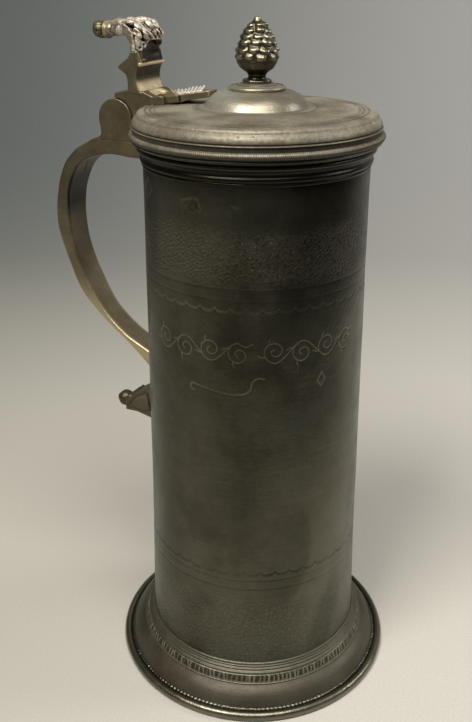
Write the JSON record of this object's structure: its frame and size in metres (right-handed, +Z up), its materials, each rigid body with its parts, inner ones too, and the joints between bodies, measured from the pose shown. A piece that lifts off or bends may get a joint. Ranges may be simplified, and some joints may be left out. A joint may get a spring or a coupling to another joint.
{
  "type": "lidded tankard",
  "caption": "Tall lidded pewter tankard with a waisted drum, splayed foot, strap handle, hinged lid, scrolled thumbpiece and pine-cone finial.",
  "frame": {"origin": "centre of the foot's resting plane, on the drum's axis", "axes": "+Z up along the drum's axis; the handle and thumbpiece are towards -X; the hinge pin lies along Y"},
  "size_m": [0.1877, 0.1514, 0.3376],
  "materials": {
    "pewter": "dark patinated pewter, satin",
    "lid_pewter": "rubbed pewter, satin",
    "handle_pewter": "olive-brown patinated pewter, satin",
    "finial_pewter": "cast pewter, worn bright on the high spots",
    "pin_brass": "aged brass"
  },
  "bodies": {
    "vessel": {"drum": "pewter", "base_disc": "pewter", "lip_band": "pewter", "foot_collar": "pewter", "foot_skirt": "pewter", "foot_rim": "pewter", "handle_strap": "handle_pewter", "handle_scroll": "handle_pewter", "terminal_knob": "handle_pewter", "hinge_fork": "handle_pewter", "hinge_pin": "pin_brass"},
    "lid": {"lid_plate": "lid_pewter", "lid_rim_bead": "lid_pewter", "lid_bezel": "lid_pewter", "lid_dome": "lid_pewter", "finial_collar": "lid_pewter", "finial_washer": "finial_pewter", "finial_stem": "finial_pewter", "finial_cone": "finial_pewter", "finial_stud": "pin_brass", "finial_nut": "pin_brass", "hinge_block": "handle_pewter", "lid_tongue": "handle_pewter", "tongue_beading": "handle_pewter", "thumbpiece": "handle_pewter", "thumbpiece_leaf": "handle_pewter", "thumbpiece_bud": "handle_pewter"}
  },
  "joints": [
    {"name": "lid_hinge", "type": "hinge", "parent": "vessel", "child": "lid", "pos_m": [-0.0696, 0, 0.2909], "axis": [0, -1, 0], "range_deg": [0, 97]}
  ]
}
